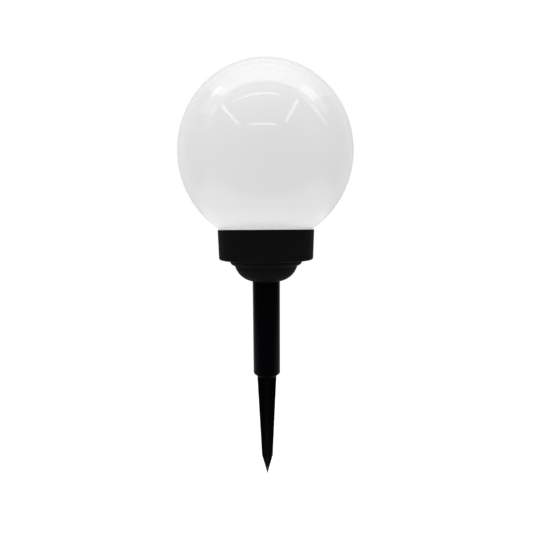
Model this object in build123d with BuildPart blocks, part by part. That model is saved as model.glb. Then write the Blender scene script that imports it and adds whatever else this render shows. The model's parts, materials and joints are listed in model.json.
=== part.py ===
from build123d import *
import math
import os

# Solar spike light: an opal globe on a round black base, a tube stem and a ground spike.
# The origin is on the axis at ground level, where the foot of the stem meets the spike.
# +Z is up and -Y is the front. All sizes are in millimetres.

# Gaps and fits
PUSH_FIT_GAP = 0.1          # radial gap of the push fits at both ends of the stem
TURN_GAP = 0.4              # gap round the globe's neck and lugs, which turn
DROP_IN_GAP = 0.2           # side play of a piece dropped into its pocket
PILOT_GAP = 0.05            # radial gap round a screw in its pilot hole
SCREW_HOLE_GAP = 0.25       # radial gap round a screw in a clearance hole
BAY_GAP = 0.5               # ends of the battery bay to the deck's wall, where that comes near

# Ground spike
SPIKE_DEPTH = 102.2
POINT_LENGTH = 20.0
POINT_WIDTH = 10.5
SHANK_DIAMETER = 18.0
SHANK_LENGTH = 28.0
SHANK_SKIRT = 3.0           # round part of the shank that shows below the stem
SHANK_WALL = 2.0
SHANK_LEAD_IN = 0.8
BLADE_THICKNESS = 2.6
CORE_DIAMETER = 4.4

# Stem
STEM_DIAMETER = 25.0
STEM_LENGTH = 87.0
STEM_WALL = 2.2
STEM_WEB = 2.5
STEM_FOOT_ROUND = 1.0
STEM_LEAD_IN = 0.6

# Bowl under the housing
BOWL_DEPTH = 14.4
BOWL_BULGE = 3.2            # rise of the bowl's arc over its chord
BOWL_WALL = 2.2
BOWL_LIP = 0.6              # flat ring that stands out round the top of the stem
STEP_HEIGHT = 5.2
STEP_WIDTH = 4.3            # from the bowl's rim out to the edge of the step
STEP_EDGE = 0.7             # straight edge above the step's round
STEP_FLAT = 0.6             # flat ring between the step's round and the bowl
STEP_WALL = 3.0
SPIGOT_LENGTH = 16.0
SPIGOT_WALL = 2.0
SPIGOT_LEAD_IN = 0.8
PILLAR_DIAMETER = 6.0
PILLAR_INSET = 0.7          # pillar to the inside of the bowl's rim
PILLAR_COUNT = 4
FIRST_PILLAR = 45.0

# Housing
HOUSING_DIAMETER = 84.3     # at the bottom
HOUSING_FLARE = 0.75        # how much the radius grows towards the top
HOUSING_WALL = 2.3
HOUSING_FLOOR = 2.2
HOUSING_FOOT_ROUND = 1.6
HOUSING_RIM_ROUND = 0.4
STEP_LEDGE = 9.5            # flat ring under the housing, outside the step
SUPPORT_COUNT = 6
SUPPORT_WIDTH = 2.4
SUPPORT_REACH = 1.2         # how far a support rib reaches under the deck's rim
SCREW_BOSS_WALL = 1.2
SCREW_BOSS_FLOOR = 2.3      # between the sunk head of a deck screw and the deck's post
HEAD_SINK = 0.5             # head of a deck screw above the housing's underside
HOLDER_BOSS_DIAMETER = 5.0
HOLDER_BOSS_DEPTH = 4.0

# Bayonet between globe and housing
LUG_COUNT = 3
LUG_ANGLE = 20.0
LUG_DEPTH = 1.2
LUG_HEIGHT = 2.4
LUG_LIFT = 0.8              # lug above the end of the neck
ENTRY_ANGLE = 28.0          # width of the gaps that let the lugs in
LOCK_TURN = 30.0
KEEPER_HEIGHT = 2.5         # ribs that hold the lugs down
STOP_ANGLE = 3.0
STOP_GAP_ANGLE = 1.0
FIRST_LUG = 90.0

# Globe
GLOBE_DIAMETER = 150.0
GLOBE_FOOT = 1.4            # straight foot under the ball
GLOBE_WALL = 1.8
NECK_LENGTH = 9.0
SEAT_STEP = 0.7             # housing rim that shows outside the globe
GASKET_THICKNESS = 1.5

# Deck
DECK_RIM = 2.0
DECK_WALL = 1.8
DECK_PLATE = 2.0
DECK_NECK_GAP = 1.25        # deck to the inside of the neck
DECK_RIM_GAP = 0.25         # rim to the keeper ribs, so that the deck drops past them
DECK_TOP_ROUND = 0.8
SEAT_RISE = 0.2             # rim of the housing above the deck's plate
POST_DIAMETER = 4.6
POST_COUNT = 3
FIRST_POST = 90.0

# Solar panel
PANEL_RECESS = 1.0
PANEL_BOARD = 1.0
PANEL_RESIN = 1.2
RESIN_BEVEL = 0.35
CELL_COUNT = 4
CELL_THICKNESS = 0.3
CELL_GAP = 1.0
CELL_MARGIN = 2.0
PANEL_LEAD_SPREAD = 10.0
PANEL_LEAD_INSET = 6.0

# Lamps
LED_COUNT = 4
LED_DIAMETER = 5.0
LED_FLANGE = 0.4            # flange beyond the lamp's body
LED_FLANGE_HEIGHT = 1.0
LED_HEIGHT = 8.6
LED_WALL_GAP = 2.3          # flange to the deck's wall
LED_PANEL_GAP = 2.6         # flange to the panel
LED_LEAD_PITCH = 2.54
LED_LEAD_WIDTH = 0.5
LEAD_STUB = 0.5             # lead that shows below the board
LEAD_HOLE_GAP = 0.15

# Circuit board and what is on it
BOARD_THICKNESS = 1.6
BOARD_WALL_GAP = 2.2        # board to the deck's wall
BOARD_BATTERY_GAP = 1.0
BOARD_BOSS_DIAMETER = 4.4
BOARD_SCREW_INSET = 4.0     # from the edge of the board
BOARD_SCREW_COUNT = 4
FIRST_BOARD_SCREW = 45.0
CHIP_WIDTH = 4.4
CHIP_DEPTH = 2.0
CHIP_HEIGHT = 3.0
CHIP_STANDOFF = 1.2
CHIP_LEGS = 4
CHIP_LEG_PITCH = 1.0
CHIP_LEG_WIDTH = 0.4
CHIP_BEVEL = 0.6
COIL_BODY_DIAMETER = 3.6
COIL_BODY_LENGTH = 9.0
COIL_BODY_ROUND = 0.8
COIL_BODY_GAP = 0.3         # inductor to the board
COIL_LEAD_DIAMETER = 0.6
COIL_LEAD_REACH = 1.8
COIL_LEAD_BEND = 0.9
COMPONENT_OFFSET = 14.0     # chip and inductor from the axis

# Switch
SWITCH_CASE_LENGTH = 7.6
SWITCH_CASE_WIDTH = 3.6
SWITCH_CASE_HEIGHT = 3.4
SWITCH_SLOT_DEPTH = 1.2
SWITCH_PANEL_GAP = 3.0      # middle of the switch to the panel's edge
SWITCH_OFFSET = 9.0
SWITCH_TRAVEL = 2.5
KNOB_LENGTH = 2.4
KNOB_WIDTH = 2.0
KNOB_RISE = 2.2             # knob above the deck's plate
KNOB_GAP = 0.15
KNOB_GROOVE = 0.3

# Battery and its holder
BATTERY_DIAMETER = 14.5
BATTERY_LENGTH = 50.5
BATTERY_NUB_DIAMETER = 5.5
BATTERY_NUB_LENGTH = 1.2
SLEEVE_THICKNESS = 0.25
SLEEVE_END_RING = 1.5       # sleeve turned in over the ends of the cell
HOLDER_FLOOR = 1.2
HOLDER_WALL = 1.2
HOLDER_END_WALL = 1.4
HOLDER_SIDE_GAP = 0.3
HOLDER_RISE = 2.0           # side walls above the battery's axis
EAR_THICKNESS = 2.0
EAR_RADIUS = 3.2
CONTACT_THICKNESS = 0.5
CONTACT_WIDTH = 9.0
CONTACT_HEIGHT = 10.0
TAIL_LENGTH = 2.8           # solder tail outside the holder's side wall
TAIL_HEIGHT = 4.0
END_PLAY = 0.1              # play at each end of battery and spring
SPRING_LENGTH = 5.0
SPRING_WIRE = 0.7
SPRING_TURNS = 3
SPRING_BASE_DIAMETER = 9.0  # outside, at the plate
SPRING_TIP_DIAMETER = 6.0   # outside, at the battery

# Wires
WIRE_DIAMETER = 1.2
WIRE_FIRST_RUN = 4.5        # along the battery, away from the tail
WIRE_SIDE_RUN = 3.5
WIRE_OUT = 3.0
WIRE_RISE = 3.5

# Screws
SOCKET_SCREW_HEAD = 5.4
SOCKET_SCREW_HEAD_HEIGHT = 1.9
SOCKET_SCREW_SHANK = 2.9
SOCKET_SCREW_LENGTH = 9.0
DECK_SCREW_HEAD = 4.6
DECK_SCREW_HEAD_HEIGHT = 1.7
DECK_SCREW_SHANK = 2.4
DECK_SCREW_LENGTH = 10.0
HOLDER_SCREW_HEAD = 4.2
HOLDER_SCREW_HEAD_HEIGHT = 1.5
HOLDER_SCREW_SHANK = 2.2
HOLDER_SCREW_LENGTH = 6.0
BOARD_SCREW_HEAD = 3.8
BOARD_SCREW_HEAD_HEIGHT = 1.2
BOARD_SCREW_SHANK = 2.0
BOARD_SCREW_LENGTH = 4.5
PILOT_SPARE = 0.3           # pilot hole beyond the screw's tip
CROSS_LENGTH = 0.55         # cross recess, as shares of the screw's head
CROSS_WIDTH = 0.15
CROSS_DEPTH = 0.6

# Limits that keep rounds, bevels and arcs inside what they are cut from
ROUND_SHARE = 0.95          # of the wall or floor that a single round takes
BEVEL_SHARE = 0.3           # of the wall at an edge with a round or bevel on both sides
RUN_SHARE = 0.45            # of a wire's shorter run that an arc takes

# Radii that follow from the sizes above
shank_r = SHANK_DIAMETER / 2
stem_r = STEM_DIAMETER / 2
shank_bore_r = shank_r + PUSH_FIT_GAP
stem_bore_r = stem_r - STEM_WALL
spigot_r = stem_bore_r - PUSH_FIT_GAP
housing_r = HOUSING_DIAMETER / 2
step_r = housing_r - STEP_LEDGE
bowl_rim_r = step_r - STEP_WIDTH
bowl_bottom_r = stem_r + BOWL_LIP
pillar_circle = bowl_rim_r - BOWL_WALL - PILLAR_INSET - PILLAR_DIAMETER / 2
battery_r = BATTERY_DIAMETER / 2

# Levels that follow, from the ground up
bowl_rim_z = STEM_LENGTH + BOWL_DEPTH
base_z = bowl_rim_z + STEP_HEIGHT
floor_z = base_z + HOUSING_FLOOR
battery_z = floor_z + HOLDER_FLOOR + DROP_IN_GAP + battery_r
board_bottom = battery_z + battery_r + BOARD_BATTERY_GAP
board_top = board_bottom + BOARD_THICKNESS
plate_bottom = board_top + SWITCH_CASE_HEIGHT
plate_top = plate_bottom + DECK_PLATE
panel_bottom = plate_top - PANEL_RECESS
cell_bottom = panel_bottom + PANEL_BOARD
seat_z = plate_top + SEAT_RISE
neck_end = seat_z - NECK_LENGTH
rim_top = neck_end - GASKET_THICKNESS
rim_bottom = rim_top - DECK_RIM
lug_bottom = neck_end + LUG_LIFT
lug_top = lug_bottom + LUG_HEIGHT
keeper_bottom = lug_top + TURN_GAP
keeper_top = keeper_bottom + KEEPER_HEIGHT
head_seat = base_z + HEAD_SINK + DECK_SCREW_HEAD_HEIGHT
boss_top = head_seat + SCREW_BOSS_FLOOR


def housing_radius(z):
    """Outside radius of the flared housing at a level."""
    return housing_r + HOUSING_FLARE * (z - base_z) / (seat_z - base_z)


def bore_radius(z):
    """Inside radius of the flared housing at a level."""
    return housing_radius(z) - HOUSING_WALL


# Radii in the mouth of the housing
lug_r = bore_radius(lug_bottom) - TURN_GAP
neck_r = lug_r - LUG_DEPTH
neck_inner_r = neck_r - GLOBE_WALL
keeper_r = neck_r + TURN_GAP
deck_rim_r = keeper_r - DECK_RIM_GAP
deck_r = neck_inner_r - DECK_NECK_GAP
deck_inner_r = deck_r - DECK_WALL
board_r = deck_inner_r - BOARD_WALL_GAP
led_flange_r = LED_DIAMETER / 2 + LED_FLANGE
led_circle = deck_inner_r - LED_WALL_GAP - led_flange_r
panel_size = 2 * (led_circle - led_flange_r - LED_PANEL_GAP)
post_circle = (step_r + housing_r - HOUSING_FOOT_ROUND) / 2
board_screw_circle = board_r - BOARD_SCREW_INSET
switch_x = panel_size / 2 + SWITCH_PANEL_GAP
knob_rest_y = SWITCH_OFFSET - SWITCH_TRAVEL / 2

# Battery bay, along X
pocket_length = 2 * CONTACT_THICKNESS + SPRING_LENGTH + BATTERY_LENGTH + 3 * END_PLAY
pocket_start = -pocket_length / 2
spring_start = pocket_start + CONTACT_THICKNESS + END_PLAY
battery_start = spring_start + SPRING_LENGTH + END_PLAY
pocket_half_width = battery_r + HOLDER_SIDE_GAP
holder_half_width = pocket_half_width + HOLDER_WALL
holder_length = pocket_length + 2 * HOLDER_END_WALL
contact_top = battery_z + CONTACT_HEIGHT / 2
ear_offset = holder_half_width + EAR_RADIUS
tail_y = holder_half_width + TAIL_LENGTH / 2


def ring_sector(inner_radius, outer_radius, sweep_angle):
    """A piece of a flat ring, centred on the X axis."""
    with BuildSketch() as sector:
        with BuildLine():
            outer = CenterArc((0, 0), outer_radius, -sweep_angle / 2, sweep_angle)
            inner = CenterArc((0, 0), inner_radius, -sweep_angle / 2, sweep_angle)
            Line(outer @ 0, inner @ 0)
            Line(outer @ 1, inner @ 1)
        make_face()
    return sector.sketch


def oval_arc(center, x_radius, y_radius, start_angle, end_angle):
    """An arc of an upright oval, of less than a half turn, between two angles in degrees."""
    half_turn = math.radians(end_angle - start_angle) / 2
    middle_angle = math.radians(end_angle + start_angle) / 2
    corner_reach = 1 / math.cos(half_turn)
    steps = [(middle_angle - half_turn, 1), (middle_angle, corner_reach), (middle_angle + half_turn, 1)]
    points = [
        (center[0] + reach * x_radius * math.cos(angle), center[1] + reach * y_radius * math.sin(angle))
        for angle, reach in steps
    ]
    return Bezier(*points, weights=(1, math.cos(half_turn), 1))


def pan_head_screw(head, head_height, shank, length):
    """A pan-head screw whose head stands on Z = 0, with its shank below."""
    head_r = head / 2
    shank_radius = shank / 2
    with BuildPart() as screw:
        with BuildSketch(Plane.XZ):
            with BuildLine():
                Polyline(
                    (0, head_height),
                    (0, -length),
                    (shank_radius, -length + shank),
                    (shank_radius, 0),
                    (head_r, 0),
                    (head_r, head_height / 2),
                )
                Bezier((head_r, head_height / 2), (head_r, head_height), (0, head_height))
            make_face()
        revolve(axis=Axis.Z)
        with BuildSketch(Plane.XY.offset(head_height)):
            Rectangle(head * CROSS_LENGTH, head * CROSS_WIDTH)
            Rectangle(head * CROSS_WIDTH, head * CROSS_LENGTH)
        extrude(amount=-head_height * CROSS_DEPTH, mode=Mode.SUBTRACT)
    return screw.part


def corner_radii(route):
    """The largest arcs that the runs of a wire leave room for."""
    radii = []
    for before, corner, after in zip(route, route[1:], route[2:]):
        first = Vector(corner) - Vector(before)
        second = Vector(after) - Vector(corner)
        turn = math.radians(first.get_angle(second))
        shorter = min(first.length, second.length)
        radii.append(RUN_SHARE * shorter / math.tan(turn / 2))
    return radii


def wire_along(route):
    """A round wire along a route of straight runs and tangent arcs."""
    first_run = Vector(route[1]) - Vector(route[0])
    with BuildPart() as wire:
        with BuildLine():
            FilletPolyline(*route, radius=corner_radii(route))
        with BuildSketch(Plane(origin=route[0], z_dir=first_run)):
            Circle(WIRE_DIAMETER / 2)
        sweep()
    return wire.part


# Ground spike: a hollow round shank over four blades that run out to a point
blade_top = -SHANK_SKIRT
point_top = POINT_LENGTH - SPIKE_DEPTH
with BuildPart() as ground_spike:
    with BuildSketch(Plane.XZ):
        with BuildLine():
            Polyline(
                (0, blade_top),
                (shank_r, blade_top),
                (POINT_WIDTH / 2, point_top),
                (0, -SPIKE_DEPTH),
                close=True,
            )
        make_face()
    revolve(axis=Axis.Z)
    with BuildSketch(Plane.XY.offset(-SPIKE_DEPTH)):
        Rectangle(SHANK_DIAMETER, BLADE_THICKNESS)
        Rectangle(BLADE_THICKNESS, SHANK_DIAMETER)
        Circle(CORE_DIAMETER / 2)
    extrude(amount=SPIKE_DEPTH, mode=Mode.INTERSECT)
    with BuildSketch(Plane.XY.offset(blade_top)):
        Circle(shank_r)
    extrude(amount=SHANK_SKIRT + SHANK_LENGTH)
    with BuildSketch(Plane.XY):
        Circle(shank_r - SHANK_WALL)
    extrude(amount=SHANK_LENGTH, mode=Mode.SUBTRACT)
    shank_rim = ground_spike.edges().filter_by(GeomType.CIRCLE).group_by(Axis.Z)[-1]
    chamfer(shank_rim.sort_by(SortBy.RADIUS)[-1], length=min(SHANK_LEAD_IN, ROUND_SHARE * SHANK_WALL))

# Stem: a tube with a web that stops the shank, and a rounded foot
with BuildPart() as stem:
    with BuildSketch(Plane.XZ):
        with BuildLine():
            Polyline(
                (0, SHANK_LENGTH),
                (shank_bore_r, SHANK_LENGTH),
                (shank_bore_r, 0),
                (stem_r, 0),
                (stem_r, STEM_LENGTH),
                (stem_bore_r, STEM_LENGTH),
                (stem_bore_r, SHANK_LENGTH + STEM_WEB),
                (0, SHANK_LENGTH + STEM_WEB),
                close=True,
            )
        make_face()
    revolve(axis=Axis.Z)
    foot_ring = stem.edges().filter_by(GeomType.CIRCLE).group_by(Axis.Z)[0]
    foot_wall = stem_r - shank_bore_r
    fillet(foot_ring.sort_by(SortBy.RADIUS)[-1], radius=min(STEM_FOOT_ROUND, ROUND_SHARE * foot_wall))
    mouth_ring = stem.edges().filter_by(GeomType.CIRCLE).group_by(Axis.Z)[-1]
    chamfer(mouth_ring.sort_by(SortBy.RADIUS)[0], length=min(STEM_LEAD_IN, ROUND_SHARE * STEM_WALL))

# Hollow inside the bowl, less the four pillars for the screws
with BuildPart() as bowl_hollow:
    with BuildSketch(Plane.XZ):
        with BuildLine():
            cavity_rim = (bowl_rim_r - BOWL_WALL, bowl_rim_z)
            cavity_bottom = (stem_bore_r + BOWL_WALL, STEM_LENGTH + BOWL_WALL)
            SagittaArc(cavity_rim, cavity_bottom, BOWL_BULGE)
            Polyline(
                cavity_bottom,
                (spigot_r - SPIGOT_WALL, STEM_LENGTH + BOWL_WALL),
                (spigot_r - SPIGOT_WALL, STEM_LENGTH - SPIGOT_LENGTH),
                (0, STEM_LENGTH - SPIGOT_LENGTH),
                (0, base_z),
                (step_r - STEP_WALL, base_z),
                (step_r - STEP_WALL, bowl_rim_z + BOWL_WALL),
                (bowl_rim_r - BOWL_WALL, bowl_rim_z + BOWL_WALL),
                cavity_rim,
            )
        make_face()
    revolve(axis=Axis.Z)
    with BuildSketch(Plane.XY.offset(STEM_LENGTH)):
        with PolarLocations(pillar_circle, PILLAR_COUNT, start_angle=FIRST_PILLAR):
            Circle(PILLAR_DIAMETER / 2)
    extrude(amount=base_z - STEM_LENGTH, mode=Mode.SUBTRACT)

# Bowl: spigot, round bottom and stepped ring, closed above by the housing's floor
socket_shank_r = SOCKET_SCREW_SHANK / 2
socket_grip = SOCKET_SCREW_LENGTH - HOUSING_FLOOR
with BuildPart() as base_bowl:
    with BuildSketch(Plane.XZ):
        with BuildLine():
            bowl_rim = (bowl_rim_r, bowl_rim_z)
            bowl_bottom = (bowl_bottom_r, STEM_LENGTH)
            step_round_height = STEP_HEIGHT - STEP_EDGE
            step_round_width = STEP_WIDTH - STEP_FLAT
            Polyline(
                (step_r, base_z - STEP_EDGE),
                (step_r, base_z),
                (0, base_z),
                (0, STEM_LENGTH - SPIGOT_LENGTH),
                (spigot_r, STEM_LENGTH - SPIGOT_LENGTH),
                (spigot_r, STEM_LENGTH),
                bowl_bottom,
            )
            SagittaArc(bowl_bottom, bowl_rim, -BOWL_BULGE)
            Line(bowl_rim, (bowl_rim_r + STEP_FLAT, bowl_rim_z))
            step_round_center = (bowl_rim_r + STEP_FLAT, base_z - STEP_EDGE)
            oval_arc(step_round_center, step_round_width, step_round_height, -90, 0)
        make_face()
    revolve(axis=Axis.Z)
    add(bowl_hollow.part, mode=Mode.SUBTRACT)
    spigot_end = base_bowl.edges().filter_by(GeomType.CIRCLE).group_by(Axis.Z)[0]
    chamfer(spigot_end.sort_by(SortBy.RADIUS)[-1], length=min(SPIGOT_LEAD_IN, ROUND_SHARE * SPIGOT_WALL))
    with BuildSketch(Plane.XY.offset(base_z)):
        with PolarLocations(pillar_circle, PILLAR_COUNT, start_angle=FIRST_PILLAR):
            Circle(socket_shank_r + PILOT_GAP)
    extrude(amount=-(socket_grip + PILOT_SPARE), mode=Mode.SUBTRACT)

# Housing: a flared drum with a floor, deck supports, screw bosses and the bayonet's keepers
deck_shank_r = DECK_SCREW_SHANK / 2
deck_head_hole_r = DECK_SCREW_HEAD / 2 + SCREW_HOLE_GAP
holder_shank_r = HOLDER_SCREW_SHANK / 2
holder_pilot = HOLDER_SCREW_LENGTH - EAR_THICKNESS + PILOT_SPARE
wall_middle = HOUSING_WALL / 2
keeper_sweep = 360 / LUG_COUNT - ENTRY_ANGLE
keeper = ring_sector(keeper_r, bore_radius(keeper_bottom) + wall_middle, keeper_sweep)
stop = ring_sector(keeper_r, bore_radius(rim_top) + wall_middle, STOP_ANGLE)
stop_offset = LUG_ANGLE / 2 + STOP_GAP_ANGLE + STOP_ANGLE / 2
support_start = deck_rim_r - SUPPORT_REACH
support_end = bore_radius(floor_z) + wall_middle
with BuildPart() as housing:
    with BuildSketch(Plane.XZ):
        with BuildLine():
            Polyline(
                (0, base_z),
                (housing_r, base_z),
                (housing_radius(seat_z), seat_z),
                (bore_radius(seat_z), seat_z),
                (bore_radius(floor_z), floor_z),
                (0, floor_z),
                close=True,
            )
        make_face()
    revolve(axis=Axis.Z)
    foot_edge = housing.edges().filter_by(GeomType.CIRCLE).group_by(Axis.Z)[0]
    fillet(foot_edge, radius=min(HOUSING_FOOT_ROUND, ROUND_SHARE * HOUSING_FLOOR))
    rim_edges = housing.edges().filter_by(GeomType.CIRCLE).group_by(Axis.Z)[-1]
    fillet(rim_edges, radius=min(HOUSING_RIM_ROUND, BEVEL_SHARE * HOUSING_WALL))
    with BuildSketch(Plane.XY.offset(floor_z)):
        with PolarLocations((support_start + support_end) / 2, SUPPORT_COUNT):
            Rectangle(support_end - support_start, SUPPORT_WIDTH)
    extrude(amount=rim_bottom - floor_z)
    with BuildSketch(Plane.XY.offset(floor_z)):
        with PolarLocations(post_circle, POST_COUNT, start_angle=FIRST_POST):
            Circle(deck_head_hole_r + SCREW_BOSS_WALL)
    extrude(amount=boss_top - floor_z)
    with BuildSketch(Plane.XY.offset(keeper_bottom)):
        with PolarLocations(0, LUG_COUNT, start_angle=FIRST_LUG + 180 / LUG_COUNT):
            add(keeper)
    extrude(amount=KEEPER_HEIGHT)
    with BuildSketch(Plane.XY.offset(rim_top)):
        with PolarLocations(0, LUG_COUNT, start_angle=FIRST_LUG + stop_offset):
            add(stop)
        with PolarLocations(0, LUG_COUNT, start_angle=FIRST_LUG - LOCK_TURN - stop_offset):
            add(stop)
    extrude(amount=keeper_top - rim_top)
    with BuildSketch(Plane.XY.offset(base_z)):
        with Locations((0, ear_offset), (0, -ear_offset)):
            Circle(HOLDER_BOSS_DIAMETER / 2)
    extrude(amount=-HOLDER_BOSS_DEPTH)
    with BuildSketch(Plane.XY.offset(floor_z)):
        with Locations((0, ear_offset), (0, -ear_offset)):
            Circle(holder_shank_r + PILOT_GAP)
    extrude(amount=-holder_pilot, mode=Mode.SUBTRACT)
    with BuildSketch(Plane.XY.offset(floor_z)):
        with PolarLocations(pillar_circle, PILLAR_COUNT, start_angle=FIRST_PILLAR):
            Circle(socket_shank_r + SCREW_HOLE_GAP)
    extrude(amount=-HOUSING_FLOOR, mode=Mode.SUBTRACT)
    with BuildSketch(Plane.XY.offset(base_z)):
        with PolarLocations(post_circle, POST_COUNT, start_angle=FIRST_POST):
            Circle(deck_shank_r + SCREW_HOLE_GAP)
    extrude(amount=boss_top - base_z, mode=Mode.SUBTRACT)
    with BuildSketch(Plane.XY.offset(base_z)):
        with PolarLocations(post_circle, POST_COUNT, start_angle=FIRST_POST):
            Circle(deck_head_hole_r)
    extrude(amount=head_seat - base_z, mode=Mode.SUBTRACT)

# Screws that hold the housing on the bowl
socket_screw = pan_head_screw(
    SOCKET_SCREW_HEAD, SOCKET_SCREW_HEAD_HEIGHT, SOCKET_SCREW_SHANK, SOCKET_SCREW_LENGTH
)
with BuildPart() as socket_screws:
    with Locations((0, 0, floor_z)):
        with PolarLocations(pillar_circle, PILLAR_COUNT, start_angle=FIRST_PILLAR):
            add(socket_screw)

# Deck: a hat-shaped plate on three posts, with a recess for the panel, clear of the battery's contacts
board_shank_r = BOARD_SCREW_SHANK / 2
post_pilot = DECK_SCREW_LENGTH - SCREW_BOSS_FLOOR + PILOT_SPARE
board_pilot = BOARD_SCREW_LENGTH - BOARD_THICKNESS + PILOT_SPARE
panel_lead_y = panel_size / 2 - PANEL_LEAD_INSET
knob_slot_length = KNOB_LENGTH + SWITCH_TRAVEL + 2 * KNOB_GAP
knob_slot_width = KNOB_WIDTH + 2 * KNOB_GAP
with BuildPart() as deck:
    with BuildSketch(Plane.XZ):
        with BuildLine():
            Polyline(
                (0, plate_bottom),
                (deck_inner_r, plate_bottom),
                (deck_inner_r, rim_bottom),
                (deck_rim_r, rim_bottom),
                (deck_rim_r, rim_top),
                (deck_r, rim_top),
                (deck_r, plate_top),
                (0, plate_top),
                close=True,
            )
        make_face()
    revolve(axis=Axis.Z)
    top_edge = deck.edges().filter_by(GeomType.CIRCLE).group_by(Axis.Z)[-1]
    fillet(top_edge, radius=min(DECK_TOP_ROUND, ROUND_SHARE * DECK_WALL))
    with BuildSketch(Plane.XY.offset(boss_top)):
        with PolarLocations(post_circle, POST_COUNT, start_angle=FIRST_POST):
            Circle(POST_DIAMETER / 2)
    extrude(amount=rim_bottom - boss_top)
    with BuildSketch(Plane.XY.offset(board_top)):
        with PolarLocations(board_screw_circle, BOARD_SCREW_COUNT, start_angle=FIRST_BOARD_SCREW):
            Circle(BOARD_BOSS_DIAMETER / 2)
    extrude(amount=plate_bottom - board_top)
    with BuildSketch(Plane.XY.offset(plate_top)):
        Rectangle(panel_size + 2 * DROP_IN_GAP, panel_size + 2 * DROP_IN_GAP)
    extrude(amount=-PANEL_RECESS, mode=Mode.SUBTRACT)
    with BuildSketch(Plane.XY.offset(plate_bottom)):
        with PolarLocations(led_circle, LED_COUNT):
            Circle(LED_DIAMETER / 2 + DROP_IN_GAP)
        with Locations((switch_x, SWITCH_OFFSET)):
            Rectangle(knob_slot_width, knob_slot_length)
        with Locations((-PANEL_LEAD_SPREAD / 2, panel_lead_y), (PANEL_LEAD_SPREAD / 2, panel_lead_y)):
            Circle(WIRE_DIAMETER / 2 + DROP_IN_GAP)
    extrude(amount=DECK_PLATE, mode=Mode.SUBTRACT)
    with BuildSketch(Plane.XY.offset(boss_top)):
        with PolarLocations(post_circle, POST_COUNT, start_angle=FIRST_POST):
            Circle(deck_shank_r + PILOT_GAP)
    extrude(amount=post_pilot, mode=Mode.SUBTRACT)
    with BuildSketch(Plane.XY.offset(board_top)):
        with PolarLocations(board_screw_circle, BOARD_SCREW_COUNT, start_angle=FIRST_BOARD_SCREW):
            Circle(board_shank_r + PILOT_GAP)
    extrude(amount=board_pilot, mode=Mode.SUBTRACT)
    with BuildSketch(Plane.XY.offset(rim_bottom)):
        Rectangle(holder_length + 2 * BAY_GAP, CONTACT_WIDTH + 2 * BAY_GAP)
    extrude(amount=contact_top + BAY_GAP - rim_bottom, mode=Mode.SUBTRACT)

# Screws from below that hold the deck down
deck_screw = pan_head_screw(
    DECK_SCREW_HEAD, DECK_SCREW_HEAD_HEIGHT, DECK_SCREW_SHANK, DECK_SCREW_LENGTH
)
with BuildPart() as deck_screws:
    with Locations((0, 0, head_seat)):
        with PolarLocations(post_circle, POST_COUNT, start_angle=FIRST_POST):
            add(deck_screw, rotation=(180, 0, 0))

# Solar panel: backing board, strips of cell, and clear resin cast over them
cell_width = (panel_size - 2 * CELL_MARGIN - (CELL_COUNT - 1) * CELL_GAP) / CELL_COUNT
with BuildPart() as panel_board:
    with BuildSketch(Plane.XY.offset(panel_bottom)):
        Rectangle(panel_size, panel_size)
    extrude(amount=PANEL_BOARD)

with BuildPart() as solar_cells:
    with BuildSketch(Plane.XY.offset(cell_bottom)):
        with GridLocations(cell_width + CELL_GAP, 0, CELL_COUNT, 1):
            Rectangle(cell_width, panel_size - 2 * CELL_MARGIN)
    extrude(amount=CELL_THICKNESS)

with BuildPart() as panel_resin:
    with BuildSketch(Plane.XY.offset(cell_bottom)):
        Rectangle(panel_size, panel_size)
    extrude(amount=PANEL_RESIN)
    resin_rim = panel_resin.edges().group_by(Axis.Z)[-1]
    chamfer(resin_rim, length=min(RESIN_BEVEL, BEVEL_SHARE * PANEL_RESIN))
    add(solar_cells.part, mode=Mode.SUBTRACT)

# Lamps: domed lenses whose flanges stop under the plate, and their leads down to the board
led_bottom = plate_bottom - LED_FLANGE_HEIGHT
led_r = LED_DIAMETER / 2
with BuildPart() as led_lens:
    with BuildSketch(Plane.XZ):
        with BuildLine():
            Polyline(
                (0, LED_HEIGHT),
                (0, 0),
                (led_flange_r, 0),
                (led_flange_r, LED_FLANGE_HEIGHT),
                (led_r, LED_FLANGE_HEIGHT),
                (led_r, LED_HEIGHT - led_r),
            )
            CenterArc((0, LED_HEIGHT - led_r), led_r, 0, 90)
        make_face()
    revolve(axis=Axis.Z)

with BuildPart() as leds:
    with Locations((0, 0, led_bottom)):
        with PolarLocations(led_circle, LED_COUNT):
            add(led_lens.part)

lead_bottom = board_bottom - LEAD_STUB
with BuildPart() as led_leads:
    with BuildSketch(Plane.XY.offset(lead_bottom)):
        with PolarLocations(led_circle, LED_COUNT):
            with Locations((0, -LED_LEAD_PITCH / 2), (0, LED_LEAD_PITCH / 2)):
                Rectangle(LED_LEAD_WIDTH, LED_LEAD_WIDTH)
    extrude(amount=led_bottom - lead_bottom)

# Circuit board under the deck
lead_hole_r = LED_LEAD_WIDTH * math.sqrt(2) / 2 + LEAD_HOLE_GAP
with BuildPart() as circuit_board:
    with BuildSketch(Plane.XY.offset(board_bottom)):
        Circle(board_r)
        with PolarLocations(led_circle, LED_COUNT):
            with Locations((0, -LED_LEAD_PITCH / 2), (0, LED_LEAD_PITCH / 2)):
                Circle(lead_hole_r, mode=Mode.SUBTRACT)
        with PolarLocations(board_screw_circle, BOARD_SCREW_COUNT, start_angle=FIRST_BOARD_SCREW):
            Circle(board_shank_r + SCREW_HOLE_GAP, mode=Mode.SUBTRACT)
    extrude(amount=BOARD_THICKNESS)

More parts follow.
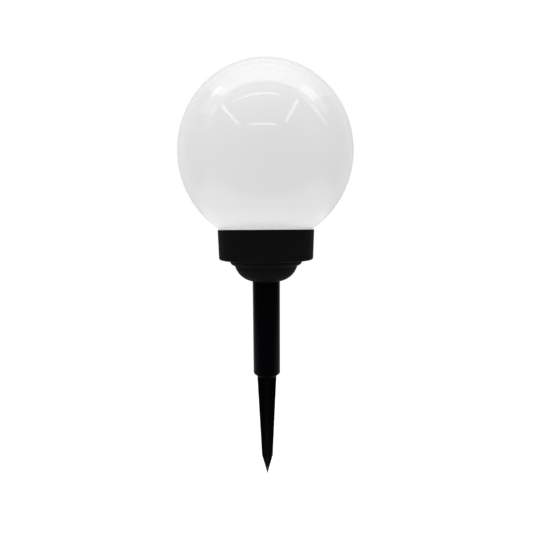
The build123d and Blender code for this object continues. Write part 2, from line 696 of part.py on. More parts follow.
board_screw = pan_head_screw(
    BOARD_SCREW_HEAD, BOARD_SCREW_HEAD_HEIGHT, BOARD_SCREW_SHANK, BOARD_SCREW_LENGTH
)
with BuildPart() as board_screws:
    with Locations((0, 0, board_bottom)):
        with PolarLocations(board_screw_circle, BOARD_SCREW_COUNT, start_angle=FIRST_BOARD_SCREW):
            add(board_screw, rotation=(180, 0, 0))

# Controller chip: a small moulded body hung from the board on a row of legs
chip_top = board_bottom - CHIP_STANDOFF
with BuildPart() as controller_chip:
    with BuildSketch(Plane.XY.offset(chip_top)):
        with Locations((0, COMPONENT_OFFSET)):
            Rectangle(CHIP_WIDTH, CHIP_DEPTH)
    extrude(amount=-CHIP_HEIGHT)
    front_edges = controller_chip.edges().filter_by(Axis.Z).group_by(Axis.Y)[-1]
    chamfer(front_edges, length=min(CHIP_BEVEL, BEVEL_SHARE * CHIP_DEPTH))
    with BuildSketch(Plane.XY.offset(chip_top)):
        with Locations((0, COMPONENT_OFFSET)):
            with GridLocations(CHIP_LEG_PITCH, 0, CHIP_LEGS, 1):
                Rectangle(CHIP_LEG_WIDTH, CHIP_LEG_WIDTH)
    extrude(amount=CHIP_STANDOFF)

# Inductor: a dipped barrel along X with its leads bent up to the board
coil_z = board_bottom - COIL_BODY_GAP - COIL_BODY_DIAMETER / 2
coil_half = COIL_BODY_LENGTH / 2
coil_lead_r = COIL_LEAD_DIAMETER / 2
coil_lead_x = coil_half + COIL_LEAD_REACH
with BuildPart() as inductor:
    with BuildSketch(Plane.YZ.offset(-coil_half)):
        with Locations((-COMPONENT_OFFSET, coil_z)):
            Circle(COIL_BODY_DIAMETER / 2)
    extrude(amount=COIL_BODY_LENGTH)
    fillet(inductor.edges().filter_by(GeomType.CIRCLE), radius=COIL_BODY_ROUND)
    with BuildLine():
        FilletPolyline(
            (-coil_lead_x, -COMPONENT_OFFSET, board_bottom),
            (-coil_lead_x, -COMPONENT_OFFSET, coil_z),
            (coil_lead_x, -COMPONENT_OFFSET, coil_z),
            (coil_lead_x, -COMPONENT_OFFSET, board_bottom),
            radius=COIL_LEAD_BEND,
        )
    with BuildSketch(Plane.XY.offset(board_bottom)):
        with Locations((-coil_lead_x, -COMPONENT_OFFSET)):
            Circle(coil_lead_r)
    sweep()

# Slide switch: case on the board, knob up through the deck
with BuildPart() as switch_case:
    with BuildSketch(Plane.XY.offset(board_top)):
        with Locations((switch_x, SWITCH_OFFSET)):
            Rectangle(SWITCH_CASE_WIDTH, SWITCH_CASE_LENGTH)
    extrude(amount=SWITCH_CASE_HEIGHT)
    with BuildSketch(Plane.XY.offset(plate_bottom)):
        with Locations((switch_x, SWITCH_OFFSET)):
            Rectangle(knob_slot_width, knob_slot_length)
    extrude(amount=-SWITCH_SLOT_DEPTH, mode=Mode.SUBTRACT)

knob_bottom = plate_bottom - SWITCH_SLOT_DEPTH + KNOB_GAP
knob_top = plate_top + KNOB_RISE
with BuildPart() as switch_knob:
    with BuildSketch(Plane.XY.offset(knob_bottom)):
        with Locations((switch_x, knob_rest_y)):
            Rectangle(KNOB_WIDTH, KNOB_LENGTH)
    extrude(amount=knob_top - knob_bottom)
    with BuildSketch(Plane.XY.offset(knob_top)):
        with Locations((switch_x, knob_rest_y)):
            with GridLocations(0, KNOB_LENGTH / 3, 1, 2):
                Rectangle(KNOB_WIDTH, KNOB_GROOVE)
    extrude(amount=-KNOB_GROOVE, mode=Mode.SUBTRACT)

# Battery holder: a tray with end walls, two screwed ears and slots for the solder tails
holder_top = battery_z + HOLDER_RISE
tail_x = pocket_length / 2 - CONTACT_THICKNESS / 2
side_wall_y = pocket_half_width + HOLDER_WALL / 2
with BuildPart() as battery_holder:
    with BuildSketch(Plane.XY.offset(floor_z)):
        Rectangle(holder_length, 2 * holder_half_width)
    extrude(amount=holder_top - floor_z)
    with BuildSketch(Plane.XY.offset(floor_z + HOLDER_FLOOR)):
        Rectangle(pocket_length, 2 * pocket_half_width)
    extrude(amount=holder_top - floor_z - HOLDER_FLOOR, mode=Mode.SUBTRACT)
    with BuildSketch(Plane.XY.offset(floor_z)):
        with Locations((0, ear_offset), (0, -ear_offset)):
            Circle(EAR_RADIUS)
        with Locations((0, ear_offset - EAR_RADIUS / 2), (0, -ear_offset + EAR_RADIUS / 2)):
            Rectangle(2 * EAR_RADIUS, EAR_RADIUS)
        with Locations((0, ear_offset), (0, -ear_offset)):
            Circle(holder_shank_r + SCREW_HOLE_GAP, mode=Mode.SUBTRACT)
    extrude(amount=EAR_THICKNESS)
    with BuildSketch(Plane.XY.offset(battery_z - TAIL_HEIGHT / 2 - DROP_IN_GAP)):
        with Locations((tail_x, side_wall_y), (-tail_x, side_wall_y)):
            Rectangle(CONTACT_THICKNESS, 2 * HOLDER_WALL)
    extrude(amount=holder_top - floor_z, mode=Mode.SUBTRACT)

holder_screw = pan_head_screw(
    HOLDER_SCREW_HEAD, HOLDER_SCREW_HEAD_HEIGHT, HOLDER_SCREW_SHANK, HOLDER_SCREW_LENGTH
)
with BuildPart() as holder_screws:
    with Locations((0, ear_offset, floor_z + EAR_THICKNESS), (0, -ear_offset, floor_z + EAR_THICKNESS)):
        add(holder_screw)

# Battery: a steel cell with a plain sleeve turned in over its ends
cell_r = battery_r - SLEEVE_THICKNESS
cell_start = battery_start + SLEEVE_THICKNESS
cell_shoulder = battery_start + BATTERY_LENGTH - BATTERY_NUB_LENGTH - SLEEVE_THICKNESS
battery_end = battery_start + BATTERY_LENGTH
battery_axis = Axis((0, 0, battery_z), (1, 0, 0))
battery_plane = Plane(origin=(0, 0, battery_z), x_dir=(1, 0, 0), z_dir=(0, -1, 0))
with BuildPart() as battery_cell:
    with BuildSketch(battery_plane):
        with BuildLine():
            Polyline(
                (battery_start, 0),
                (battery_start, cell_r - SLEEVE_END_RING),
                (cell_start, cell_r - SLEEVE_END_RING),
                (cell_start, cell_r),
                (cell_shoulder, cell_r),
                (cell_shoulder, BATTERY_NUB_DIAMETER / 2),
                (battery_end, BATTERY_NUB_DIAMETER / 2),
                (battery_end, 0),
                close=True,
            )
        make_face()
    revolve(axis=battery_axis)

sleeve_end = cell_shoulder + SLEEVE_THICKNESS
with BuildPart() as battery_sleeve:
    with BuildSketch(battery_plane):
        with BuildLine():
            Polyline(
                (battery_start, cell_r - SLEEVE_END_RING),
                (battery_start, battery_r),
                (sleeve_end, battery_r),
                (sleeve_end, cell_r - SLEEVE_END_RING),
                (cell_shoulder, cell_r - SLEEVE_END_RING),
                (cell_shoulder, cell_r),
                (cell_start, cell_r),
                (cell_start, cell_r - SLEEVE_END_RING),
                close=True,
            )
        make_face()
    revolve(axis=battery_axis)

# Contact plates with solder tails through the side wall of the holder
contact_faces = {"negative": pocket_start, "positive": pocket_length / 2 - CONTACT_THICKNESS}
with BuildPart() as negative_plate:
    with BuildSketch(Plane.YZ.offset(contact_faces["negative"])):
        with Locations((0, battery_z)):
            Rectangle(CONTACT_WIDTH, CONTACT_HEIGHT)
        with Locations((tail_y / 2 + TAIL_LENGTH / 4, battery_z)):
            Rectangle(tail_y + TAIL_LENGTH / 2, TAIL_HEIGHT)
    extrude(amount=CONTACT_THICKNESS)

with BuildPart() as positive_plate:
    with BuildSketch(Plane.YZ.offset(contact_faces["positive"])):
        with Locations((0, battery_z)):
            Rectangle(CONTACT_WIDTH, CONTACT_HEIGHT)
        with Locations((tail_y / 2 + TAIL_LENGTH / 4, battery_z)):
            Rectangle(tail_y + TAIL_LENGTH / 2, TAIL_HEIGHT)
    extrude(amount=CONTACT_THICKNESS)

# Battery spring: a conical coil between the negative plate and the cell
spring_wire_r = SPRING_WIRE / 2
spring_base_r = SPRING_BASE_DIAMETER / 2 - spring_wire_r
spring_tip_r = SPRING_TIP_DIAMETER / 2 - spring_wire_r
spring_rise = SPRING_LENGTH - SPRING_WIRE


def spring_point(turns):
    """The middle of the spring's wire after a number of turns."""
    share = turns / SPRING_TURNS
    radius = spring_base_r + (spring_tip_r - spring_base_r) * share
    angle = 2 * math.pi * turns
    x = spring_start + spring_wire_r + spring_rise * share
    return Vector(x, radius * math.cos(angle), battery_z + radius * math.sin(angle))


def spring_direction(turns):
    """The direction of the spring's wire after a number of turns."""
    step = 0.001
    return (spring_point(turns + step) - spring_point(turns - step)).normalized()


def biarc_joint(start, start_direction, end, end_direction):
    """The point where two tangent arcs between two directed points meet."""
    chord = end - start
    both = start_direction + end_direction
    spread = 2 * (1 - start_direction.dot(end_direction))
    along = chord.dot(both)
    reach = (math.sqrt(along * along + spread * chord.dot(chord)) - along) / spread
    return (start + start_direction * reach + end - end_direction * reach) / 2


def spring_least_gap():
    """The smallest gap between neighbouring turns of the spring's wire."""
    samples = 60
    points = [spring_point(i / samples) for i in range(SPRING_TURNS * samples + 1)]
    distances = []
    for i, here in enumerate(points):
        distances.extend((there - here).length for there in points[i + samples // 2:])
    return min(distances) - SPRING_WIRE


with BuildPart() as battery_spring:
    with BuildLine():
        for quarter in range(4 * SPRING_TURNS):
            start = spring_point(quarter / 4)
            end = spring_point((quarter + 1) / 4)
            start_direction = spring_direction(quarter / 4)
            end_direction = spring_direction((quarter + 1) / 4)
            joint = biarc_joint(start, start_direction, end, end_direction)
            first_arc = TangentArc(start, joint, tangent=start_direction)
            TangentArc(joint, end, tangent=first_arc % 1)
    with BuildSketch(Plane(origin=spring_point(0), z_dir=spring_direction(0))):
        Circle(spring_wire_r)
    sweep()

# Wires: battery tails to the board, and panel to the board
wire_start_x = pocket_length / 2 - CONTACT_THICKNESS
wire_turn_x = wire_start_x - WIRE_FIRST_RUN
wire_end_x = wire_turn_x - WIRE_SIDE_RUN
red_route = [
    (wire_start_x, tail_y, battery_z),
    (wire_turn_x, tail_y, battery_z),
    (wire_end_x, tail_y + WIRE_OUT, battery_z + WIRE_RISE),
    (wire_end_x, tail_y + WIRE_OUT, board_bottom),
]
black_route = [(-x, y, z) for x, y, z in red_route]
battery_red = wire_along(red_route)
battery_black = wire_along(black_route)
with BuildPart() as battery_lead_red:
    add(battery_red)
with BuildPart() as battery_lead_black:
    add(battery_black)

with BuildPart() as panel_lead_red:
    with BuildSketch(Plane.XY.offset(board_top)):
        with Locations((PANEL_LEAD_SPREAD / 2, panel_lead_y)):
            Circle(WIRE_DIAMETER / 2)
    extrude(amount=panel_bottom - board_top)
with BuildPart() as panel_lead_black:
    with BuildSketch(Plane.XY.offset(board_top)):
        with Locations((-PANEL_LEAD_SPREAD / 2, panel_lead_y)):
            Circle(WIRE_DIAMETER / 2)
    extrude(amount=panel_bottom - board_top)

# Gasket on the deck's rim, under the end of the globe's neck
with BuildPart() as globe_gasket:
    with BuildSketch(Plane.XY.offset(rim_top)):
        Circle(neck_r)
        Circle(neck_inner_r - DROP_IN_GAP, mode=Mode.SUBTRACT)
    extrude(amount=GASKET_THICKNESS)

# Globe: a blown ball on a short foot, with a flat shoulder, a neck and bayonet lugs
globe_r = GLOBE_DIAMETER / 2
globe_seat_r = housing_radius(seat_z) - SEAT_STEP
seat_angle = math.degrees(math.acos(globe_seat_r / globe_r))
globe_z = seat_z + GLOBE_FOOT + globe_r * math.sin(math.radians(seat_angle))
inner_r = globe_r - GLOBE_WALL
shelf_z = seat_z + GLOBE_WALL
shelf_angle = math.degrees(math.asin((globe_z - shelf_z) / inner_r))
lug = ring_sector(neck_r - GLOBE_WALL / 2, lug_r, LUG_ANGLE)
with BuildPart() as globe:
    with BuildSketch(Plane.XZ):
        with BuildLine():
            outer = CenterArc((0, globe_z), globe_r, -seat_angle, 90 + seat_angle)
            inner = CenterArc((0, globe_z), inner_r, -shelf_angle, 90 + shelf_angle)
            Line(outer @ 1, inner @ 1)
            Polyline(
                inner @ 0,
                (neck_inner_r, shelf_z),
                (neck_inner_r, neck_end),
                (neck_r, neck_end),
                (neck_r, seat_z),
                (globe_seat_r, seat_z),
                outer @ 0,
            )
        make_face()
    revolve(axis=Axis.Z)
    with BuildSketch(Plane.XY.offset(lug_bottom)):
        with PolarLocations(0, LUG_COUNT, start_angle=FIRST_LUG):
            add(lug)
    extrude(amount=LUG_HEIGHT)

# Every piece goes to its own file
PIECES = {
    "ground_spike": ground_spike,
    "stem": stem,
    "base_bowl": base_bowl,
    "housing": housing,
    "socket_screws": socket_screws,
    "deck": deck,
    "deck_screws": deck_screws,
    "panel_board": panel_board,
    "solar_cells": solar_cells,
    "panel_resin": panel_resin,
    "leds": leds,
    "led_leads": led_leads,
    "circuit_board": circuit_board,
    "board_screws": board_screws,
    "controller_chip": controller_chip,
    "inductor": inductor,
    "switch_case": switch_case,
    "switch_knob": switch_knob,
    "battery_holder": battery_holder,
    "holder_screws": holder_screws,
    "battery_cell": battery_cell,
    "battery_sleeve": battery_sleeve,
    "negative_plate": negative_plate,
    "positive_plate": positive_plate,
    "battery_spring": battery_spring,
    "battery_lead_red": battery_lead_red,
    "battery_lead_black": battery_lead_black,
    "panel_lead_red": panel_lead_red,
    "panel_lead_black": panel_lead_black,
    "globe_gasket": globe_gasket,
    "globe": globe,
}
os.makedirs("parts", exist_ok=True)
for name, piece in PIECES.items():
    piece.part.label = name
    export_step(piece.part, f"parts/{name}.step")

print("seat of the globe at", round(seat_z, 2), "and top at", round(globe_z + globe_r, 2))
print("least gap in the battery spring", round(spring_least_gap(), 2))
print("arcs of the battery leads", [round(radius, 2) for radius in corner_radii(red_route)])
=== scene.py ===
"""Solar spike light: finishes, small details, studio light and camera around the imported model."""

import json
import math

import bmesh
import bpy
from mathutils import Matrix, Vector


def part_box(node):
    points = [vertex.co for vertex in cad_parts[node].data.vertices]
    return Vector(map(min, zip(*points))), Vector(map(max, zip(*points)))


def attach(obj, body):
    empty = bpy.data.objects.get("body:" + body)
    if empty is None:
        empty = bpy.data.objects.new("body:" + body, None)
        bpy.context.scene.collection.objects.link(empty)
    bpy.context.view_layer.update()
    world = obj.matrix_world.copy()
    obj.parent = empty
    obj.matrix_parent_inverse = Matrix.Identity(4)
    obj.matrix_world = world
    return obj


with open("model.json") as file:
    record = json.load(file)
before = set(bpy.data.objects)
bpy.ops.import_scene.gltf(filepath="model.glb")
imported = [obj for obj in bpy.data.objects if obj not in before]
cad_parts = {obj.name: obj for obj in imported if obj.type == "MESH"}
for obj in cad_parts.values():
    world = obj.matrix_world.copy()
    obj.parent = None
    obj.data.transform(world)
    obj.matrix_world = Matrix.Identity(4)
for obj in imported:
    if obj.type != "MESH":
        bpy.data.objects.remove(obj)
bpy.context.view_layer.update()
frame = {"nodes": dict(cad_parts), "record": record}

MM = 0.001

# Camera, in metres, degrees and millimetres of film: close by, level with the housing's rim
VIEW_DISTANCE = 0.3083
EYE_SIDE = 0.0003
PITCH = 6.135                           # down
ROLL = -0.37
LENS = 23.09
SENSOR_WIDTH = 36.0

# Studio, in metres; a light level of 1 shows a colour as it is written
FLOOR_LEVEL = -0.3
FLOOR_FRONT = -0.4                      # front edge, behind the camera
FLOOR_FADE = (0.18, 0.7)                # soft edge that gloss shows, at the front and the sides
FLOOR_SHADE = 0.1                       # floor at the front edge, in gloss
FLOOR_SIDE = 0.6                        # share of its light that the floor keeps at the sides, in gloss
FLOOR_SIZE = (2.6, 2.6)
FLOOR_WHITE = 0.9
FLOOR_GLOW = 0.1                        # of a floor lit from below
FLOOR_LIFT = 0.17                       # for what is seen of the floor, also in gloss and glass
AMBIENT_LEVEL = 0.69
AMBIENT_SLOPE = (-0.06, -0.15, 0.14)    # change of the soft light along X, Y and Z
ROOM_LEVEL = 0.08                       # dark side of the room, behind the camera
BACK_LEVEL = 0.7                        # pale side of the room, behind the light
BACK_SLOPE = -0.05                      # change of the pale side along X
ROOM_EDGE = (0.1, 0.7)                  # from the dark side to the pale side, along +Y
CEILING = 1.5
PANEL_WIDTH = 2.2
PANEL_MIDDLE = 0.1                      # along X
PANELS = {                              # from Y, to Y, level
    "front_panel": (-0.27, -0.05, 1.4),
    "second_panel": (-0.05, 0.2, 1.1),
    "third_panel": (0.2, 0.55, 0.68),
    "rear_panel": (0.55, 1.1, 0.14),
}
LAMPS = {                               # centre, size, level
    "left_lamp": (Vector((-0.97, 0.16, CEILING)), (0.26, 0.26), 0.95),
    "right_lamp": (Vector((0.97, -0.08, CEILING)), (0.44, 0.4), 0.4),
    "left_halo": (Vector((-1.2, -0.08, CEILING)), (0.8, 0.8), 0.6),
    "right_halo": (Vector((1.15, -0.15, CEILING)), (0.8, 0.7), 0.65),
}
TUBES = {                               # from, to, width, level
    "back_tube": (Vector((-0.88, -0.73, CEILING)), Vector((0.39, -0.71, CEILING)), 0.055, 2.7),
    "left_tube": (Vector((-1.22, -0.56, CEILING)), Vector((-1.43, -1.9, CEILING)), 0.11, 2.8),
    "right_tube": (Vector((0.84, -0.67, CEILING)), Vector((1.0, -1.8, CEILING)), 0.11, 2.8),
    "front_tube": (Vector((-1.07, -2.75, CEILING)), Vector((0.65, -2.8, CEILING)), 0.12, 3.0),
    "left_post": (Vector((-1.44, -0.4, CEILING)), Vector((-1.44, -0.4, 0.77)), 0.14, 0.8),
    "right_post": (Vector((1.29, -0.48, CEILING)), Vector((1.29, -0.23, 0.87)), 0.1, 1.5),
}
ALONG_X = Vector((1, 0, 0))
DOWN = Vector((0, 0, -1))

# Details in the finishes
PAINTED_LIGHT_FOOT = 17 * MM                    # height above the rim over which the globe's white is painted lighter, as painted light for the light carried through the shell, and its finish turns duller and less milky
PALE_TIP = 11 * MM                      # end of the spike that turns paler in streaky patches
TRACK_SPACING = (7.6 * MM, 2.5 * MM)    # copper tracks on the boards, along X and Y
TRACK_WIDTH = 0.3 * MM
TRACK_SOFTNESS = 0.1                    # share of a track's edge that slopes
FLAT_FACE = 0.5                         # upright part of a normal, under which a face is a board's edge
FINGER_PITCH = 1.9 * MM                 # printed lines across the solar cells
FINGER_WIDTH = 0.17 * MM
CHIP_LEGS = 1.2 * MM                    # height of the legs, at the top of the chip
BARREL_END = 4.5 * MM                   # of the inductor, from its middle
RING_PITCH = 2.4 * MM
RING_WIDTH = 0.8 * MM
SLEEVE_WHITE = 0.74                     # share of the sleeve's length at which its white end starts
SLEEVE_LINE = 0.7                       # and at which its thin line lies
SLEEVE_LINE_REACH = 0.012               # to each side of the line's middle

# Fineness of new pieces
BEVEL_SHARE = 0.15                      # of a bar's thinnest side
BEVEL_STEPS = 2
TURN_STEPS = 24
WIRE_SIDES = 10
WELD = 0.001 * MM                       # points of a turned form that are closer become one

# Ribbons on the solar cells
CELL_COUNT = 4
CELL_GAP = 1.0 * MM
RIBBON_WIDTH = 1.3 * MM
RIBBON_THICKNESS = 0.12 * MM
RIBBON_INSET = 0.9 * MM                 # joining ribbon to the end of the cells

# Metal and gel inside the lamps
LAMP_COUNT = 4
LAMP_FLANGE = 2.9 * MM                  # radius of a lamp at its flange
ANVIL_SIZE = Vector((0.5, 1.5, 3.0)) * MM
ANVIL_OFFSET = 0.775 * MM
POST_SIZE = Vector((0.45, 0.5, 3.6)) * MM
POST_OFFSET = 1.15 * MM
CUP_RADIUS = 1.0 * MM
CUP_DEPTH = 0.9 * MM
CUP_FOOT = 0.55 * MM                    # radius under the cup
CUP_MOUTH = 0.8 * MM                    # radius inside its edge
CUP_WELL = 0.5 * MM                     # radius of its floor
CUP_FLOOR = 0.27 * MM                   # height of its floor
GEL_LEVEL = 0.72 * MM                   # edge of the gel in the cup
GEL_RISE = 0.45 * MM                    # middle of the gel above its edge
GEL_ANGLES = (0, 0.4, 0.8, 1.2)
BOND_WIRE = 0.05 * MM                   # radius
BOND_RISE = 0.5 * MM

# Marks beside the switch
MARK_OFFSET = 3.4 * MM                  # from the middle of the switch
MARK_SPREAD = 1.5 * MM                  # from the middle of the switch's travel
MARK_SIZE = 1.5 * MM
MARK_LINE = 0.35 * MM
MARK_HEIGHT = 0.15 * MM
SWITCH_TRAVEL = 2.5 * MM

scene = bpy.context.scene
scene.view_settings.view_transform = "Standard"


def colour(red, green, blue):
    """A linear colour with full alpha."""
    return (red, green, blue, 1.0)


class Nodes:
    """A tree of shader nodes, with short calls for the nodes that a look needs."""

    def __init__(self, tree):
        self.tree = tree

    def add(self, kind, links=None, **settings):
        """A node with its settings, inputs and links."""
        node = self.tree.nodes.new(kind)
        for name, value in settings.items():
            setattr(node, name, value)
        for name, value in (links or {}).items():
            self.feed(node.inputs[name], value)
        return node

    def feed(self, socket, value):
        """Link an output into a socket, or set the socket's own value."""
        if isinstance(value, bpy.types.NodeSocket):
            self.tree.links.new(value, socket)
        else:
            socket.default_value = value

    def along(self, axis, vector):
        """One coordinate of a place or direction."""
        return self.add("ShaderNodeSeparateXYZ", {"Vector": vector}).outputs[axis]

    def maths(self, operation, *values):
        """A sum, product or other operation on numbers."""
        node = self.add("ShaderNodeMath", operation=operation)
        for socket, value in zip(node.inputs, values):
            self.feed(socket, value)
        return node.outputs[0]

    def spread(self, factor, low, high, start=0.0, end=1.0, **settings):
        """A factor from start to end, spread from low to high."""
        links = {"Value": factor, "From Min": start, "From Max": end, "To Min": low, "To Max": high}
        return self.add("ShaderNodeMapRange", links, **settings).outputs["Result"]

    def eased(self, factor, low, high, start, end):
        """A factor from start to end, spread from low to high with soft ends."""
        return self.spread(factor, low, high, start, end, interpolation_type="SMOOTHSTEP")

    def looked_at(self):
        """1 for what is seen directly, in gloss or through glass, and 0 for light on other things."""
        path = self.add("ShaderNodeLightPath").outputs
        reflected = self.maths("MAXIMUM", path["Is Glossy Ray"], path["Is Transmission Ray"])
        return self.maths("MAXIMUM", path["Is Camera Ray"], reflected)


class Finish(Nodes):
    """A material under construction."""

    def __init__(self, name, **sockets):
        self.material = bpy.data.materials.new(name)
        self.material.use_nodes = True
        super().__init__(self.material.node_tree)
        self.shader = self.tree.nodes["Principled BSDF"]
        for socket, value in sockets.items():
            self.shader.inputs[socket.replace("_", " ")].default_value = value
        coordinates = self.add("ShaderNodeTexCoord").outputs
        self.place = coordinates["Object"]
        self.normal = coordinates["Normal"]

    def stretched(self, factors):
        """Object coordinates, scaled along each axis."""
        node = self.add("ShaderNodeMapping", {"Vector": self.place, "Scale": factors})
        return node.outputs["Vector"]

    def noise(self, scale, detail=3.0, rough=0.5, place=None):
        """Soft noise between 0 and 1, with a number of waves per metre."""
        links = {"Vector": place or self.place, "Scale": scale, "Detail": detail, "Roughness": rough}
        return self.add("ShaderNodeTexNoise", links).outputs["Fac"]

    def mosaic(self, scale):
        """A grey of its own for each cell of a random mosaic."""
        cells = self.add("ShaderNodeTexVoronoi", {"Vector": self.place, "Scale": scale})
        return self.add("ShaderNodeRGBToBW", {"Color": cells.outputs["Color"]}).outputs[0]

    def lines(self, coordinate, pitch, width):
        """1 on lines of a width at a pitch, 0 between them."""
        wave = self.maths("PINGPONG", coordinate, pitch / 2)
        return self.maths("LESS_THAN", wave, width / 2)

    def mixed(self, factor, first, second):
        """A colour between two others."""
        node = self.add("ShaderNodeMix", data_type="RGBA")
        self.feed(node.inputs["Factor"], factor)
        self.feed(node.inputs[6], first)
        self.feed(node.inputs[7], second)
        return node.outputs[2]

    def dent(self, height, depth):
        """Bump from a height between 0 and 1, as deep as depth in metres."""
        links = {"Height": height, "Distance": depth, "Strength": 1.0}
        return self.add("ShaderNodeBump", links).outputs["Normal"]

    def let_lamps_through(self, tint):
        """Light what is behind glass, which stays glass to look at."""
        film = self.add("ShaderNodeBsdfTransparent", {"Color": tint})
        mix = self.add("ShaderNodeMixShader")
        self.feed(mix.inputs[0], self.add("ShaderNodeLightPath").outputs["Is Shadow Ray"])
        self.feed(mix.inputs[1], self.shader.outputs["BSDF"])
        self.feed(mix.inputs[2], film.outputs["BSDF"])
        self.feed(self.tree.nodes["Material Output"].inputs["Surface"], mix.outputs["Shader"])

    def use(self, **sockets):
        """Link outputs into the shader, and give the finished material."""
        for socket, output in sockets.items():
            self.tree.links.new(output, self.shader.inputs[socket.replace("_", " ")])
        return self.material


def opal_plastic():
    """Blown opal plastic: glossy, milky, faintly cloudy; towards the rim its white is painted lighter, as
    painted light for the light that the shell carries into its shaded foot, and the foot is duller and less
    milky.
    """
    finish = Finish("opal_plastic", IOR=1.5, Subsurface_Scale=3 * MM, Subsurface_Radius=(1.0, 1.0, 0.95))
    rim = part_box("housing")[1].z
    # painted light: this mask is 1 at the rim and falls to 0 above the foot; it paints the foot lighter and
    # makes it duller and less milky
    painted_light_and_dull_foot = finish.spread(finish.along("Z", finish.place), 1.0, 0.0, start=rim, end=rim + PAINTED_LIGHT_FOOT)
    clouds = finish.noise(14, detail=2.0)
    wall = finish.mixed(clouds, colour(0.846, 0.846, 0.853), colour(0.876, 0.876, 0.882))
    # painted light: the white is lighter towards the rim, standing in for light that the translucent shell
    # carries down into the shade above the black housing
    base = finish.mixed(painted_light_and_dull_foot, wall, colour(0.975, 0.975, 0.975))
    sheen = finish.spread(finish.noise(60, detail=2.0), 0.03, 0.055)
    gloss = finish.spread(painted_light_and_dull_foot, sheen, 0.3)
    milky = finish.spread(painted_light_and_dull_foot, 0.35, 0.0)
    waves = finish.dent(finish.noise(45, detail=1.0), depth=0.01 * MM)
    return finish.use(Base_Color=base, Subsurface_Weight=milky, Roughness=gloss, Normal=waves)


def moulded(name, dark, light, gloss, grain, depth, **sockets):
    """Moulded plastic or rubber: a fine grain, with slow patches in its colour and gloss."""
    finish = Finish(name, **sockets)
    patches = finish.noise(35)
    base = finish.mixed(patches, colour(*dark), colour(*light))
    shine = finish.spread(patches, *gloss)
    bumps = finish.noise(grain, detail=2.0, rough=0.6)
    return finish.use(Base_Color=base, Roughness=shine, Normal=finish.dent(bumps, depth))


def plated(name, dull, bright, gloss, brush):
    """Plated metal: faint brush marks and cloudy patches in its tone."""
    finish = Finish(name, Metallic=1.0)
    marks = finish.noise(1500, detail=2.0, rough=0.6, place=finish.stretched(brush))
    base = finish.mixed(finish.noise(180), colour(*dull), colour(*bright))
    shine = finish.spread(marks, *gloss)
    return finish.use(Base_Color=base, Roughness=shine, Normal=finish.dent(marks, depth=0.004 * MM))


def clear(name, clean, tinted, gloss, depth):
    """Clear cast resin that lets lamps through: faint tint and slow waves in its face."""
    finish = Finish(name, IOR=1.5, Transmission_Weight=1.0)
    waves = finish.noise(110, detail=2.0)
    tint = finish.mixed(finish.noise(40, detail=2.0), colour(*clean), colour(*tinted))
    shine = finish.spread(waves, *gloss)
    finish.let_lamps_through(colour(*clean))
    return finish.use(Base_Color=tint, Roughness=shine, Normal=finish.dent(waves, depth))


def stem_black():
    """Extruded black tube with faint draw lines along it."""
    finish = Finish("stem_black", Specular_IOR_Level=0.025, Specular_Tint=colour(0.7, 0.86, 1.0))
    lines = finish.noise(900, detail=2.0, place=finish.stretched((1, 1, 0.012)))
    smudges = finish.noise(50)
    base = finish.mixed(smudges, colour(0.0007, 0.0008, 0.0011), colour(0.0014, 0.0015, 0.002))
    gloss = finish.spread(smudges, 0.2, 0.28)
    return finish.use(Base_Color=base, Roughness=gloss, Normal=finish.dent(lines, depth=0.006 * MM))


def spike_black():
    """Moulded black spike, paler in streaky patches towards its point."""
    finish = Finish("spike_black", Specular_IOR_Level=0.025, Specular_Tint=colour(0.75, 0.88, 1.0))
    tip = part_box("ground_spike")[0].z
    near_tip = finish.spread(finish.along("Z", finish.place), 1.0, 0.0, start=tip, end=tip + PALE_TIP)
    streak_noise = finish.noise(420, detail=4.0, rough=0.65, place=finish.stretched((1, 1, 0.35)))
    # the spike's black turns paler in streaky patches towards its point
    pale_patches = finish.maths("MULTIPLY", near_tip, finish.spread(streak_noise, 0.4, 1.0, start=0.35, end=0.7))
    base = finish.mixed(pale_patches, colour(0.0008, 0.0009, 0.0011), colour(0.085, 0.091, 0.098))
    gloss = finish.spread(streak_noise, 0.3, 0.45)
    return finish.use(Base_Color=base, Roughness=gloss, Normal=finish.dent(streak_noise, depth=0.02 * MM))


def board_green():
    """Green solder mask over copper tracks, with a bare glass-fibre edge."""
    finish = Finish("board_green", Roughness=0.35, Coat_Weight=0.4, Coat_Roughness=0.12)
    layout = {
        "Vector": finish.place,
        "Scale": 1.0,
        "Brick Width": TRACK_SPACING[0],
        "Row Height": TRACK_SPACING[1],
        "Mortar Size": TRACK_WIDTH,
        "Mortar Smooth": TRACK_SOFTNESS,
    }
    tracks = finish.add("ShaderNodeTexBrick", layout).outputs["Fac"]
    mask = finish.mixed(tracks, colour(0.006, 0.07, 0.028), colour(0.02, 0.15, 0.06))
    weave = finish.noise(2400, detail=2.0, rough=0.6, place=finish.stretched((1, 0.2, 1)))
    edge = finish.mixed(weave, colour(0.25, 0.22, 0.1), colour(0.4, 0.36, 0.2))
    upright = finish.maths("ABSOLUTE", finish.along("Z", finish.normal))
    base = finish.mixed(finish.maths("GREATER_THAN", upright, FLAT_FACE), edge, mask)
    return finish.use(Base_Color=base, Normal=finish.dent(tracks, depth=0.03 * MM))


def cell_blue():
    """Blue crystalline silicon with fine printed fingers."""
    finish = Finish("cell_blue", IOR=1.8, Roughness=0.22)
    silicon = finish.mixed(finish.mosaic(430), colour(0.006, 0.012, 0.055), colour(0.018, 0.05, 0.17))
    fingers = finish.lines(finish.along("Y", finish.place), FINGER_PITCH, FINGER_WIDTH)
    base = finish.mixed(fingers, silicon, colour(0.52, 0.54, 0.57))
    return finish.use(Base_Color=base, Metallic=fingers, Normal=finish.dent(fingers, depth=0.02 * MM))


